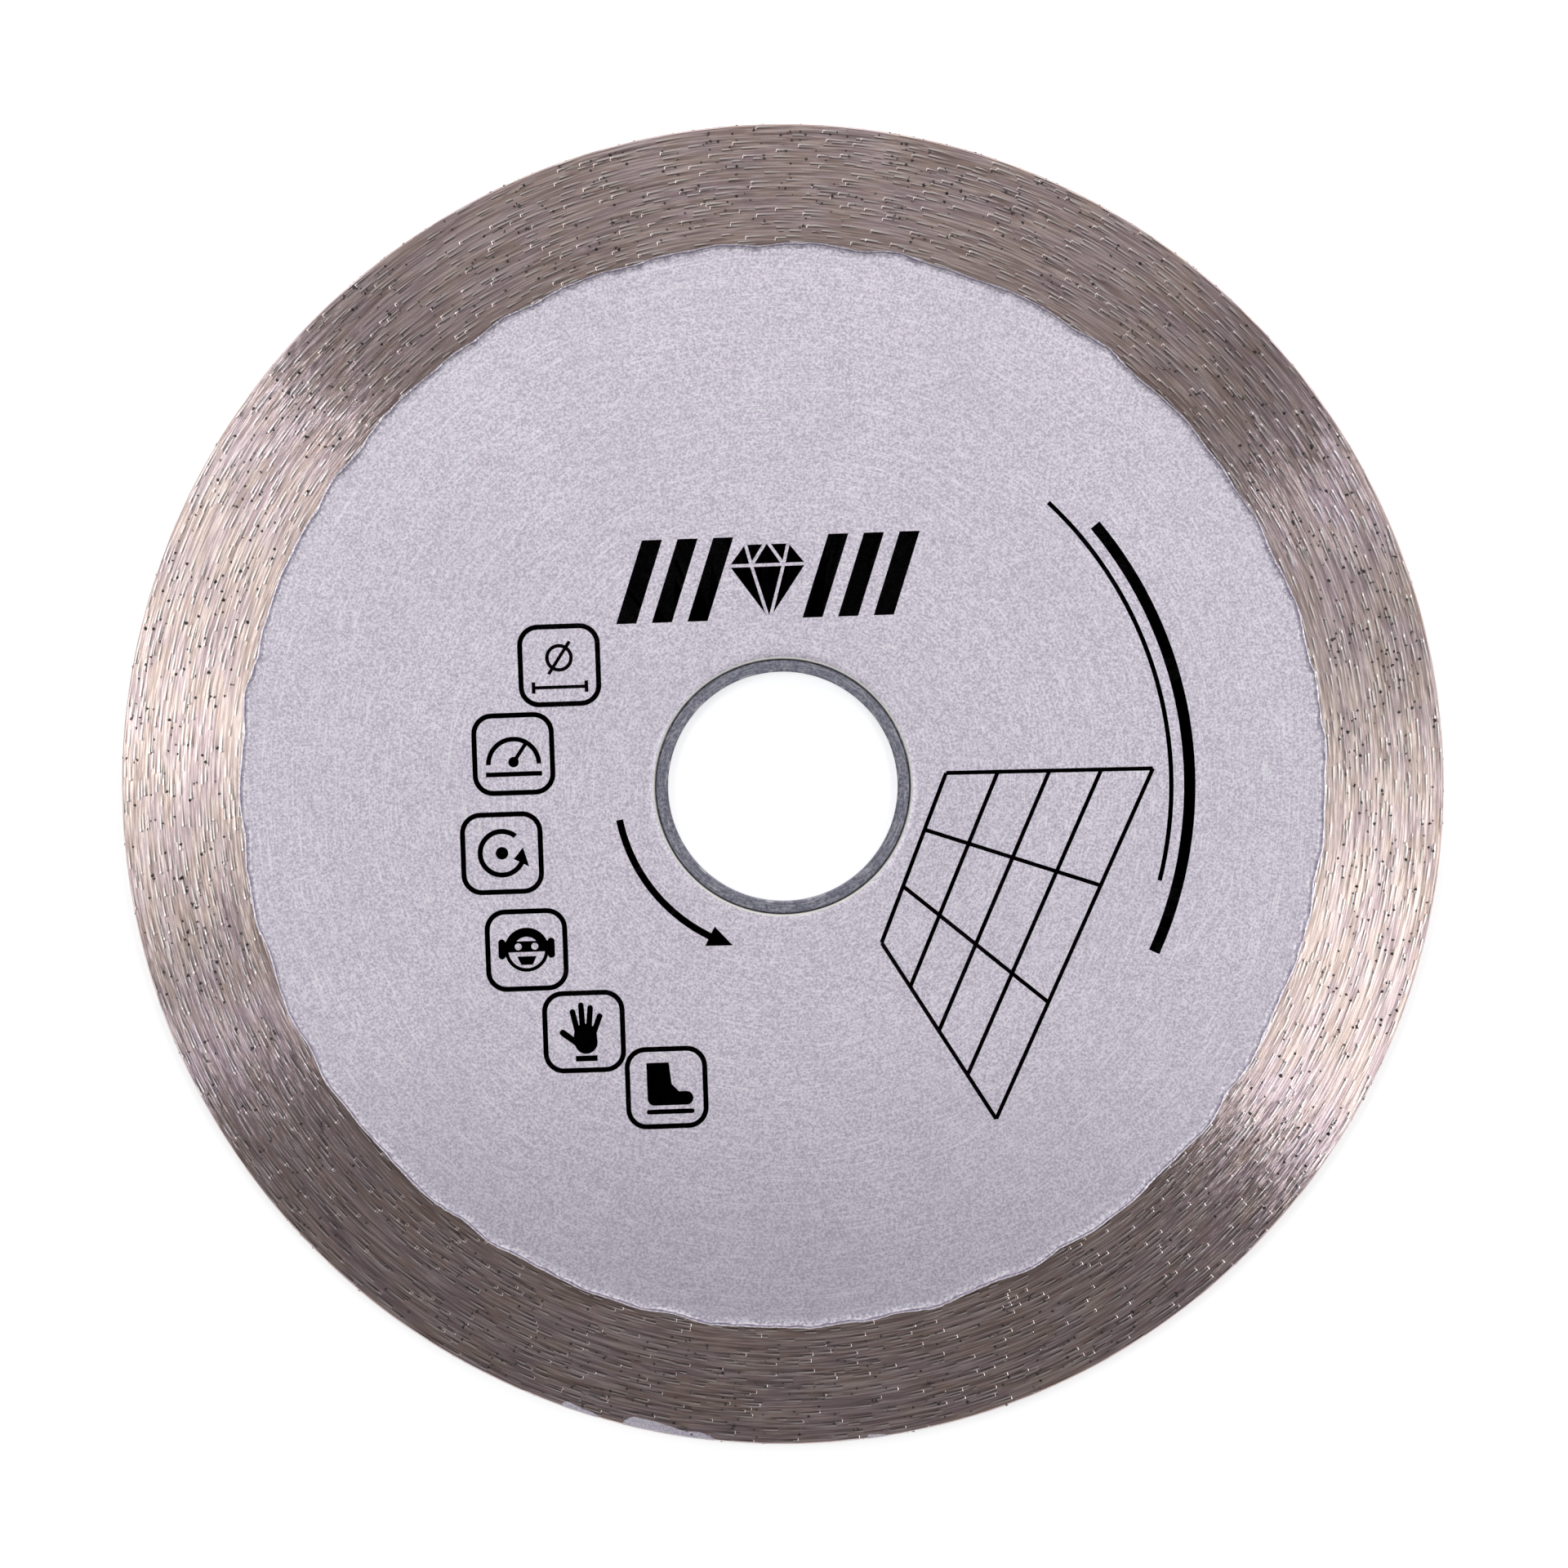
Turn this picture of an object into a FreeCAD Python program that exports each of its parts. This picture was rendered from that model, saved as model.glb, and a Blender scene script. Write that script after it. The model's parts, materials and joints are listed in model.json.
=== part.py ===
import FreeCAD, Part
import math
import os
import Sketcher

# Continuous-rim diamond blade for tile and stone, 115 mm, lying in the XY plane.
# The blade's axis is +Z. The origin is in the bore, halfway through the steel core, and the
# printed side faces +Z. Lengths are in millimetres and angles in degrees.

SIZES = {
    # rim and core
    "blade_radius": 57.5,
    "rim_thickness": 2.2,
    "rim_corner": 0.15,
    "bond_radius": 48.2,
    "core_thickness": 1.6,
    "core_radius": 48.0,
    "core_bore_radius": 11.115,
    "core_bore_chamfer": 0.12,
    # keyed edge of the core
    "key_count": 72,
    "key_depth": 1.0,
    "key_mouth": 1.1,
    "key_root": 1.7,
    # wavy edge where the bond was pressed over the core
    "wave_radius": 47.25,
    "taper_width": 0.3,
    "blank_inner_radius": 46.3,
    # loose reducing ring
    "ring_outer_radius": 11.1,
    "ring_bore_radius": 10.0,
    "ring_thickness": 1.5,
    "ring_chamfer": 0.15,
    # lacquer and ink films
    "paint_thickness": 0.04,
    "paint_inner_radius": 11.3,
    "ink_thickness": 0.02,
    # exposed diamond crystals
    "crystal_radius": 0.2,
    "crystal_stand_out": 0.03,
    "crystals_per_face": 150,
    "crystals_on_edge": 60,
    # printed marks
    "frame_size": 7.2,
    "frame_corner": 1.8,
    "frame_line": 0.45,
    "row_radius": 24.1,
    "row_centre_x": -0.4,
    "row_centre_y": -4.2,
    "row_start": 142.2,
    "row_step": 20.8,
    "print_turn": 2.0,
    "arrow_radius": 14.5,
    "arrow_line": 0.62,
    "emblem_x": -1.3,
    "emblem_y": 18.2,
}

# Each harmonic of the wavy edge: waves in one turn, height in mm and phase in degrees.
WAVES = [(7, 0.05, 20), (19, 0.07, 95), (31, 0.09, 240), (43, 0.07, 310), (59, 0.05, 150)]
WAVE_CURVES = 60
CURVE_STEPS = 4

doc = FreeCAD.newDocument("diamond_blade")
sheet = doc.addObject("Spreadsheet::Sheet", "Sizes")
parts = []
marks = []


def fill_sheet():
    for row, (name, value) in enumerate(SIZES.items(), start=1):
        sheet.set(f"A{row}", name)
        sheet.set(f"B{row}", str(value))
        sheet.setAlias(f"B{row}", name)
    doc.recompute()


def size(name):
    return sheet.get(name)


def keep(item, name):
    item.Label = name
    parts.append(item)
    return item


def vector(x, y, z=0.0):
    return FreeCAD.Vector(x, y, z)


def polar(radius, angle):
    turn = math.radians(angle)
    return vector(radius * math.cos(turn), radius * math.sin(turn))


# ---------------------------------------------------------------- sketches


def body_sketch(body, name):
    plane = next(item for item in body.Origin.OriginFeatures if item.Role == "XY_Plane")
    sketch = body.newObject("Sketcher::SketchObject", name)
    sketch.AttachmentSupport = [(plane, "")]
    sketch.MapMode = "FlatFace"
    return sketch


def add_circle(sketch, alias):
    index = sketch.addGeometry(Part.Circle(vector(0, 0), vector(0, 0, 1), size(alias)))
    sketch.addConstraint(Sketcher.Constraint("Coincident", index, 3, -1, 1))
    constraint = sketch.addConstraint(Sketcher.Constraint("Radius", index, size(alias)))
    sketch.setExpression(f"Constraints[{constraint}]", f"Sizes.{alias}")


def add_outline(sketch, points):
    """A closed run of straight lines."""
    first = None
    for start, end in zip(points, points[1:] + points[:1]):
        line = sketch.addGeometry(Part.LineSegment(start, end))
        if first is None:
            first = line
        else:
            sketch.addConstraint(Sketcher.Constraint("Coincident", line - 1, 2, line, 1))
    sketch.addConstraint(Sketcher.Constraint("Coincident", line, 2, first, 1))


def add_round(sketch, centre, radius):
    """A circle with a plain radius, for the small printed shapes."""
    sketch.addGeometry(Part.Circle(centre, vector(0, 0, 1), radius))


def add_arc(sketch, centre, radius, start, end):
    circle = Part.Circle(centre, vector(0, 0, 1), radius)
    arc = Part.ArcOfCircle(circle, math.radians(start), math.radians(end))
    sketch.addGeometry(arc)
    return arc.StartPoint, arc.EndPoint


def add_rounded_square(sketch, width, corner):
    inset = width / 2 - corner
    signs = [(1, 1), (-1, 1), (-1, -1), (1, -1)]
    ends = []
    for number, (x, y) in enumerate(signs):
        start = 90 * number
        ends.append(add_arc(sketch, vector(x * inset, y * inset), corner, start, start + 90))
    for (_, leave), (arrive, _) in zip(ends, ends[1:] + ends[:1]):
        sketch.addGeometry(Part.LineSegment(leave, arrive))


def add_capsule(sketch, start, end, width):
    """A straight stroke with round ends."""
    heading = math.degrees(math.atan2(end.y - start.y, end.x - start.x))
    far = add_arc(sketch, end, width / 2, heading - 90, heading + 90)
    near = add_arc(sketch, start, width / 2, heading + 90, heading + 270)
    sketch.addGeometry(Part.LineSegment(far[1], near[0]))
    sketch.addGeometry(Part.LineSegment(near[1], far[0]))


def add_arc_band(sketch, centre, middle, line, start, end):
    """A curved stroke about a centre, from one angle to another."""
    inner = add_arc(sketch, centre, middle - line / 2, start, end)
    outer = add_arc(sketch, centre, middle + line / 2, start, end)
    for near, far in zip(inner, outer):
        sketch.addGeometry(Part.LineSegment(near, far))


# ---------------------------------------------------------------- rings


def ring_body(name, inner, outer, thickness):
    """A flat ring centred on the origin, with its sizes read from the sheet."""
    body = doc.addObject("PartDesign::Body", name)
    sketch = body_sketch(body, f"{name}_profile")
    add_circle(sketch, inner)
    add_circle(sketch, outer)
    pad = body.newObject("PartDesign::Pad", f"{name}_pad")
    pad.Profile = sketch
    pad.SideType = "Symmetric"
    pad.setExpression("Length", f"Sizes.{thickness}")
    doc.recompute()
    return body


def chamfer_rims(body, radii, amount):
    """Break the circular edges that have one of the given radii."""
    base = body.Tip
    names = []
    for number, edge in enumerate(base.Shape.Edges, start=1):
        if isinstance(edge.Curve, Part.Circle) and any(
            abs(edge.Curve.Radius - size(radius)) < 1e-6 for radius in radii
        ):
            names.append(f"Edge{number}")
    chamfer = body.newObject("PartDesign::Chamfer", f"{body.Name}_chamfer")
    chamfer.Base = (base, names)
    chamfer.setExpression("Size", f"Sizes.{amount}")
    body.Tip = chamfer
    doc.recompute()


def make_steel_core():
    core = ring_body("steel_core", "core_bore_radius", "core_radius", "core_thickness")
    chamfer_rims(core, ["core_bore_radius"], "core_bore_chamfer")

    # One dovetail notch, wider at its root than at its mouth, then repeated round the edge.
    mouth = size("core_radius") + 0.5
    root = size("core_radius") - size("key_depth")
    slope = (size("key_root") - size("key_mouth")) / 2 / size("key_depth")
    mouth_half = size("key_mouth") / 2 - slope * 0.5
    root_half = size("key_root") / 2
    notch = body_sketch(core, "steel_core_notch")
    corners = [(root, root_half), (mouth, mouth_half), (mouth, -mouth_half), (root, -root_half)]
    add_outline(notch, [vector(x, y) for x, y in corners])
    pocket = core.newObject("PartDesign::Pocket", "steel_core_key")
    pocket.Profile = notch
    pocket.Type = "ThroughAll"
    pocket.SideType = "Symmetric"
    doc.recompute()

    pattern = core.newObject("PartDesign::PolarPattern", "steel_core_keys")
    pattern.Originals = [pocket]
    axis = next(item for item in core.Origin.OriginFeatures if item.Role == "Z_Axis")
    pattern.Axis = (axis, [""])
    pattern.Angle = 360
    pattern.setExpression("Occurrences", "Sizes.key_count")
    core.Tip = pattern
    doc.recompute()
    return keep(core, "steel_core")


def make_reducing_ring():
    ring = ring_body("reducing_ring", "ring_bore_radius", "ring_outer_radius", "ring_thickness")
    chamfer_rims(ring, ["ring_bore_radius", "ring_outer_radius"], "ring_chamfer")
    return keep(ring, "reducing_ring")


# ---------------------------------------------------------------- wavy edge of the bond


def wave(angle):
    """How far the wavy edge stands outside its mean radius."""
    return sum(
        height * math.sin(math.radians(count * angle + phase)) for count, height, phase in WAVES
    )


def wave_point(angle, inset):
    return polar(size("wave_radius") - inset + wave(angle), angle)


def wave_sketch(name, inset, height):
    """The wavy edge as a closed chain of splines, moved inwards by inset and lifted to height."""
    sketch = doc.addObject("Sketcher::SketchObject", name)
    reach = 360 / WAVE_CURVES
    for number in range(WAVE_CURVES):
        angles = [reach * (number + step / CURVE_STEPS) for step in range(CURVE_STEPS + 1)]
        curve = Part.BSplineCurve()
        curve.interpolate([wave_point(angle % 360, inset) for angle in angles])
        sketch.addGeometry(curve)
    sketch.setExpression("Placement.Base.z", height)
    return sketch


def dish(name, lined):
    """The shallow dish inside the wavy edge, from the core's face up to the rim's face.

    A lined dish is smaller all round by the thickness of the lacquer film.
    """
    lining = size("paint_thickness") if lined else 0.0
    floor_height = "Sizes.core_thickness / 2" + (" + Sizes.paint_thickness" if lined else "")
    floor = wave_sketch(f"{name}_floor", size("taper_width") + lining, floor_height)
    top = wave_sketch(f"{name}_top", lining, "Sizes.rim_thickness / 2")
    loft = doc.addObject("Part::Loft", name)
    loft.Sections = [floor, top]
    loft.Solid = True
    loft.Ruled = True
    doc.recompute()
    return loft


def turned_over(source, name):
    """The same shape on the other side of the blade, turned over about the X axis."""
    copy = doc.addObject("Part::Mirroring", name)
    copy.Source = source
    copy.Base = vector(0, 0)
    copy.Normal = vector(0, 0, 1)
    doc.recompute()
    return copy


def cut(name, base, tools):
    """base with every tool taken away, one after another."""
    for number, tool in enumerate(tools, start=1):
        result = doc.addObject("Part::Cut", name if number == len(tools) else f"{name}_step{number}")
        result.Base = base
        result.Tool = tool
        base = result
    doc.recompute()
    return result


def make_backing_ring(core, dishes):
    blank = ring_body("backing_blank", "blank_inner_radius", "bond_radius", "rim_thickness")
    return keep(cut("bond_backing_ring", blank, [core] + dishes), "bond_backing_ring")


def make_paint(name, outer_dish, inner_dish, marks=()):
    """A lacquer film that lines the dish, open at the bore and under the printed marks."""
    bore = doc.addObject("Part::Cylinder", f"{name}_bore")
    bore.setExpression("Radius", "Sizes.paint_inner_radius")
    bore.setExpression("Height", "Sizes.rim_thickness * 2")
    bore.setExpression("Placement.Base.z", "-Sizes.rim_thickness")
    tools = [inner_dish, bore]
    if marks:
        print_tool = doc.addObject("Part::Compound", f"{name}_print")
        print_tool.Links = marks
        tools.append(print_tool)
    return keep(cut(name, outer_dish, tools), name)


# ---------------------------------------------------------------- rim and diamonds


def crystal(centre, spin):
    """One eight-faced diamond crystal."""
    radius = size("crystal_radius")
    turn = FreeCAD.Rotation(vector(0.3, 1, 0.5), spin)
    tips = [turn.multVec(vector(*axis)) * radius + centre for axis in (
        (1, 0, 0), (0, 1, 0), (-1, 0, 0), (0, -1, 0), (0, 0, 1), (0, 0, -1))]
    faces = []
    for number in range(4):
        first, second = tips[number], tips[(number + 1) % 4]
        for tip in tips[4:]:
            faces.append(Part.Face(Part.makePolygon([first, second, tip, first])))
    solid = Part.Solid(Part.Shell(faces))
    if solid.Volume < 0:
        solid.reverse()
    return solid


def crystal_places():
    """Where the exposed crystals sit: spread over both faces, then round the cutting edge."""
    golden = 137.508
    inner = size("bond_radius") + 3 * size("crystal_radius")
    outer = size("blade_radius") - 3 * size("crystal_radius")
    sunk = size("crystal_radius") - size("crystal_stand_out")
    height = size("rim_thickness") / 2 - sunk
    count = int(size("crystals_per_face"))
    for side in (1, -1):
        for number in range(count):
            share = (number + 0.5) / count
            radius = math.sqrt(inner ** 2 + share * (outer ** 2 - inner ** 2))
            spot = polar(radius, golden * number * side)
            yield vector(spot.x, spot.y, side * height)
    edge_count = int(size("crystals_on_edge"))
    for number in range(edge_count):
        spot = polar(size("blade_radius") - sunk, 360 * number / edge_count)
        yield vector(spot.x, spot.y, 0.45 * math.sin(golden * number))


def make_rim():
    solids = [crystal(place, 47 * number) for number, place in enumerate(crystal_places())]
    grit = doc.addObject("Part::Feature", "diamond_grit")
    grit.Shape = Part.makeCompound(solids)
    blank = ring_body("rim_blank", "bond_radius", "blade_radius", "rim_thickness")
    chamfer_rims(blank, ["blade_radius"], "rim_corner")
    keep(cut("diamond_rim", blank, [grit]), "diamond_rim")
    keep(grit, "diamond_grit")


# ---------------------------------------------------------------- printed marks


def ink(name, draw, *details):
    """A patch of ink from closed outlines. An outline inside another one is a hole."""
    sketch = doc.addObject("Sketcher::SketchObject", f"{name}_outline")
    draw(sketch, *details)
    patch = doc.addObject("Part::Extrusion", name)
    patch.Base = sketch
    patch.DirMode = "Normal"
    patch.Solid = True
    patch.FaceMakerClass = "Part::FaceMakerBullseye"
    patch.setExpression("LengthFwd", "Sizes.ink_thickness")
    return patch


def polygon(name, corners):
    return ink(name, add_outline, [vector(x, y) for x, y in corners])


def disc(name, x, y, radius):
    return ink(name, add_round, vector(x, y), radius)


def stroke(name, start, end, width):
    return ink(name, add_capsule, vector(*start), vector(*end), width)


def arc_stroke(name, centre, middle, line, start, end):
    return ink(name, add_arc_band, vector(*centre), middle, line, start, end)


def bar(name, start, end, width):
    """A straight stroke with square ends."""
    along = vector(*end) - vector(*start)
    across = vector(-along.y, along.x).normalize() * width / 2
    box = doc.addObject("Part::Box", name)
    box.Length = along.Length
    box.Width = width
    box.setExpression("Height", "Sizes.ink_thickness")
    turn = math.degrees(math.atan2(along.y, along.x))
    box.Placement = FreeCAD.Placement(vector(*start) - across, FreeCAD.Rotation(turn, 0, 0))
    return box


def joined(name, pieces):
    fuse = doc.addObject("Part::MultiFuse", name)
    fuse.Shapes = pieces
    fuse.Refine = True
    return fuse


def lay_in_paint(item, x, y, turn):
    """Sink a mark into the lacquer until it is flush with it. x and y are expressions."""
    paint_face = "Sizes.core_thickness / 2 + Sizes.paint_thickness"
    item.Placement.Rotation = FreeCAD.Rotation(turn, 0, 0)
    item.setExpression("Placement.Base.x", x)
    item.setExpression("Placement.Base.y", y)
    item.setExpression("Placement.Base.z", f"{paint_face} - Sizes.ink_thickness")
    marks.append(item)
    return item


def draw_frame(sketch):
    outer = size("frame_size")
    line = size("frame_line")
    add_rounded_square(sketch, outer, size("frame_corner"))
    add_rounded_square(sketch, outer - 2 * line, size("frame_corner") - line)


def diameter_glyph(name):
    """A struck-through circle over a dimension line."""
    pieces = [arc_stroke(f"{name}_circle", (0, 0.65), 1.05, 0.32, 0, 180)]
    pieces.append(arc_stroke(f"{name}_circle_low", (0, 0.65), 1.05, 0.32, 180, 360))
    pieces.append(bar(f"{name}_slash", (-0.95, -0.75), (0.95, 2.05), 0.3))
    pieces.append(bar(f"{name}_width", (-2.3, -1.9), (2.3, -1.9), 0.3))
    for side, x in (("left", -2.3), ("right", 2.3)):
        pieces.append(bar(f"{name}_{side}", (x, -2.4), (x, -1.4), 0.32))
    return pieces


def speed_glyph(name):
    """A dial with a needle."""
    pieces = [arc_stroke(f"{name}_dial", (0, -0.9), 2.2, 0.42, 0, 180)]
    pieces.append(bar(f"{name}_base", (-2.45, -1.75), (2.45, -1.75), 0.42))
    pieces.append(bar(f"{name}_needle", (0, -0.7), (1.05, 0.8), 0.34))
    pieces.append(disc(f"{name}_hub", 0, -0.7, 0.46))
    return pieces


def turning_glyph(name):
    """An arrow that goes round a hub."""
    pieces = [arc_stroke(f"{name}_sweep", (0, 0), 1.9, 0.45, 50, 335)]
    pieces.append(arrow_head(f"{name}_head", 1.9, 332, 0.75, 42))
    pieces.append(disc(f"{name}_hub", 0, 0, 0.55))
    return pieces


def goggles_glyph(name):
    """A head with goggles, ear muffs and a dust mask."""
    pieces = [arc_stroke(f"{name}_head", (0, 0), 1.75, 0.32, 170, 370)]
    pieces.append(arc_stroke(f"{name}_hair", (0, 0), 1.55, 0.8, 20, 160))
    pieces.append(ink(f"{name}_goggles", draw_goggles))
    for side, x in (("left", -2.15), ("right", 2.15)):
        pieces.append(stroke(f"{name}_{side}", (x, -0.45), (x, 0.7), 0.62))
    pieces.append(polygon(f"{name}_mask", [(-0.85, -0.55), (0.85, -0.55), (0.5, -1.3), (-0.5, -1.3)]))
    return pieces


def draw_goggles(sketch):
    """A band with two round lenses left clear."""
    add_capsule(sketch, vector(-1.75, 0.3), vector(1.75, 0.3), 0.95)
    for x in (-0.72, 0.72):
        add_round(sketch, vector(x, 0.3), 0.3)


def glove_glyph(name):
    """A glove with its fingers spread, over its cuff."""
    fingers = [(-0.55, -0.95, 1.75), (-0.1, -0.2, 2.3), (0.4, 0.6, 2.05), (0.85, 1.4, 1.3)]
    pieces = [stroke(f"{name}_palm", (0.1, -0.3), (0.15, -0.95), 2.0)]
    for number, (root, tip, reach) in enumerate(fingers, start=1):
        pieces.append(stroke(f"{name}_finger{number}", (root, -0.1), (tip, reach), 0.5))
    pieces.append(stroke(f"{name}_thumb", (-0.5, -1.1), (-1.85, -0.05), 0.56))
    pieces.append(bar(f"{name}_cuff", (-0.8, -2.35), (1.1, -2.35), 0.5))
    return pieces


def boot_glyph(name):
    """An ankle boot over its sole."""
    shaft = [(-1.7, 2.2), (0.25, 2.2), (0.45, 0.3), (1.15, -0.45), (1.0, -0.95), (-1.7, -0.95)]
    pieces = [polygon(f"{name}_shaft", shaft)]
    pieces.append(stroke(f"{name}_foot", (-1.1, -0.95), (1.7, -0.95), 1.2))
    pieces.append(stroke(f"{name}_sole", (-1.6, -2.1), (2.15, -2.1), 0.42))
    return pieces


def arrow_head(name, radius, start, half_width, sweep):
    """A triangle at the end of a curved stroke, pointing round anticlockwise."""
    tip = polar(radius, start + sweep)
    inner = polar(radius - half_width, start)
    outer = polar(radius + half_width, start)
    return ink(name, add_outline, [inner, outer, tip])


def make_pictograms():
    """The six pictograms stand in a row that curves round the bore."""
    glyphs = {
        "pictogram_diameter": diameter_glyph,
        "pictogram_speed": speed_glyph,
        "pictogram_turning": turning_glyph,
        "pictogram_goggles": goggles_glyph,
        "pictogram_gloves": glove_glyph,
        "pictogram_boots": boot_glyph,
    }
    for number, (name, glyph) in enumerate(glyphs.items()):
        mark = joined(name, [ink(f"{name}_frame", draw_frame)] + glyph(name))
        angle = f"(Sizes.row_start + {number} * Sizes.row_step) * 1 deg"
        x = f"Sizes.row_centre_x + Sizes.row_radius * cos({angle})"
        y = f"Sizes.row_centre_y + Sizes.row_radius * sin({angle})"
        keep(lay_in_paint(mark, x, y, size("print_turn")), name)


def make_rotation_arrow():
    radius = size("arrow_radius")
    sweep = arc_stroke("arrow_sweep", (0, 0), radius, size("arrow_line"), 191.5, 245)
    head = arrow_head("arrow_head", radius, 244, 0.95, 8.5)
    mark = joined("rotation_arrow", [sweep, head])
    keep(lay_in_paint(mark, "0", "0", 0), "rotation_arrow")


def make_emblem():
    """A faceted gem between two groups of slanted bars."""
    gem = polygon("gem_plate", [(-1.9, 2.9), (1.9, 2.9), (3.3, 1.1), (0, -3.6), (-3.3, 1.1)])
    facets = [((-3.6, 1.1), (3.6, 1.1)), ((0, 3.2), (-1.4, 1.1)), ((0, 3.2), (1.4, 1.1))]
    facets += [((-1.9, 3.1), (-1.4, 1.1)), ((1.9, 3.1), (1.4, 1.1))]
    facets += [((-1.4, 1.1), (0, -3.8)), ((1.4, 1.1), (0, -3.8))]
    grooves = [
        bar(f"gem_groove{number}", start, end, 0.28)
        for number, (start, end) in enumerate(facets, start=1)
    ]
    pieces = [cut("gem", gem, [joined("gem_grooves", grooves)])]
    bar_width, bar_pitch, half_height, lean = 1.75, 3.1, 3.6, 1.25
    for side in (-1, 1):
        for number in range(3):
            middle = side * (5.0 + bar_pitch * number)
            corners = [
                (middle - bar_width / 2 - lean, -half_height),
                (middle + bar_width / 2 - lean, -half_height),
                (middle + bar_width / 2 + lean, half_height),
                (middle - bar_width / 2 + lean, half_height),
            ]
            label = "left" if side < 0 else "right"
            pieces.append(polygon(f"emblem_{label}_bar{number + 1}", corners))
    mark = joined("emblem", pieces)
    keep(lay_in_paint(mark, "Sizes.emblem_x", "Sizes.emblem_y", size("print_turn")), "emblem")


def make_arc_stripes():
    """A heavy and a light arc that run with the rim."""
    heavy = arc_stroke("stripe_heavy", (0, 0), 35.4, 1.0, -24, 40)
    light = arc_stroke("stripe_light", (0, 0), 33.8, 0.4, -14, 47)
    keep(lay_in_paint(joined("arc_stripes", [heavy, light]), "0", "0", 0), "arc_stripes")


def make_tile_drawing():
    """A tiled floor in perspective: straight joints between the four sides of a field."""
    near_bore, far_right = vector(14.2, 1.2), vector(32.2, 1.6)
    low_left, low_right = vector(8.6, -13.6), vector(18.6, -29.0)
    line = 0.36
    lines = []
    columns, rows = 4, 3
    for number in range(columns + 1):
        share = number / columns
        top = near_bore + (far_right - near_bore) * share
        foot = low_left + (low_right - low_left) * share
        lines.append(bar(f"tile_column{number}", (top.x, top.y), (foot.x, foot.y), line))
    for number in range(rows + 1):
        share = number / rows
        left = near_bore + (low_left - near_bore) * share
        right = far_right + (low_right - far_right) * share
        lines.append(bar(f"tile_row{number}", (left.x, left.y), (right.x, right.y), line))
    keep(lay_in_paint(joined("tile_drawing", lines), "0", "0", 0), "tile_drawing")


fill_sheet()
steel_core = make_steel_core()
make_reducing_ring()
dish_front = dish("dish_front", lined=False)
dish_back = turned_over(dish_front, "dish_back")
lined_front = dish("lined_front", lined=True)
lined_back = turned_over(lined_front, "lined_back")
make_backing_ring(steel_core, [dish_front, dish_back])
make_rim()
make_pictograms()
make_rotation_arrow()
make_emblem()
make_arc_stripes()
make_tile_drawing()
doc.recompute()
make_paint("front_paint", dish_front, lined_front, marks)
make_paint("back_paint", dish_back, lined_back)

doc.recompute()
for item in doc.Objects:
    if "Invalid" in item.State or "Error" in item.State:
        raise RuntimeError(f"{item.Name} failed: {item.State}")
for item in parts:
    if item.Shape.isNull() or not item.Shape.isValid():
        raise RuntimeError(f"{item.Label} has no valid shape")
    print(item.Label, len(item.Shape.Solids), round(item.Shape.Volume, 3), item.Shape.BoundBox)

os.makedirs("parts", exist_ok=True)
for item in parts:
    item.Shape.exportStep(f"parts/{item.Label}.step")
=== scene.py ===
import itertools
import json
import math

import bpy
import numpy as np
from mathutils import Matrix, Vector


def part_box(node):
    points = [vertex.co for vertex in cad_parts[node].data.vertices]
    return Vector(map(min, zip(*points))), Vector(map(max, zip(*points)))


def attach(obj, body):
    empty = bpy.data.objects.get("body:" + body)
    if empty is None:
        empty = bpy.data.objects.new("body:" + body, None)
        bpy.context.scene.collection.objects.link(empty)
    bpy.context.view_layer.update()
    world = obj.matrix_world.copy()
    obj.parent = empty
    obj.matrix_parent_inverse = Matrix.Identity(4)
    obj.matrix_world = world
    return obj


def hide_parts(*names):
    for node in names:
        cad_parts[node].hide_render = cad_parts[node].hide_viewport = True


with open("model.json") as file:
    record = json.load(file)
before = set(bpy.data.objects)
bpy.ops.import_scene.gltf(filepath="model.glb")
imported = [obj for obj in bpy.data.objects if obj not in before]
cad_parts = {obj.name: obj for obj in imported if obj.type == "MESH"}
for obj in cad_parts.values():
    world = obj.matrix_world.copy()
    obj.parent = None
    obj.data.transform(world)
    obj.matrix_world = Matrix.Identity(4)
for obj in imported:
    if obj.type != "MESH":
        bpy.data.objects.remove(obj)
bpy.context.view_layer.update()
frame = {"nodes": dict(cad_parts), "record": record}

# A 115 mm continuous-rim diamond blade lying on its back, printed side up. Lengths are in
# metres, or in millimetres where a name ends in _mm. Angles run anticlockwise from +X, seen from
# above. A side is 1 for the front, which faces up, and -1 for the back.

MM = 0.001
TURN = 2 * math.pi


def outer_radius(node):
    low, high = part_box(node)
    return (high.x - low.x) / 2


def top_of(node):
    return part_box(node)[1].z


RIM_RADIUS = outer_radius("diamond_rim")
BOND_RADIUS = outer_radius("bond_backing_ring")
RIM_TOP = top_of("diamond_rim")
CORE_TOP = top_of("steel_core")
PAINT_BORE = outer_radius("reducing_ring") + 0.2 * MM

# The lacquer's thickness, the dressed corner of the rim, and the width of the ramp to the core.
FILM = 0.04 * MM
CORNER = 0.15 * MM
TAPER = 0.3 * MM

# The wavy edge of the pressed bond, as in the CAD model: mean radius, then each harmonic's
# count in one turn, height in mm and phase in degrees.
WAVE_RADIUS = 47.25 * MM
WAVES = [(7, 0.05, 20), (19, 0.07, 95), (31, 0.09, 240), (43, 0.07, 310), (59, 0.05, 150)]

FINE_COLUMNS = 1440
SCRATCHES_PER_FACE = 1650
EDGE_CRYSTALS = 420

# What marks lacquer as far from the bond's edge.
PLAIN_INSET_MM = 2.0


# ---------------------------------------------------------------- meshes


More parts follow.
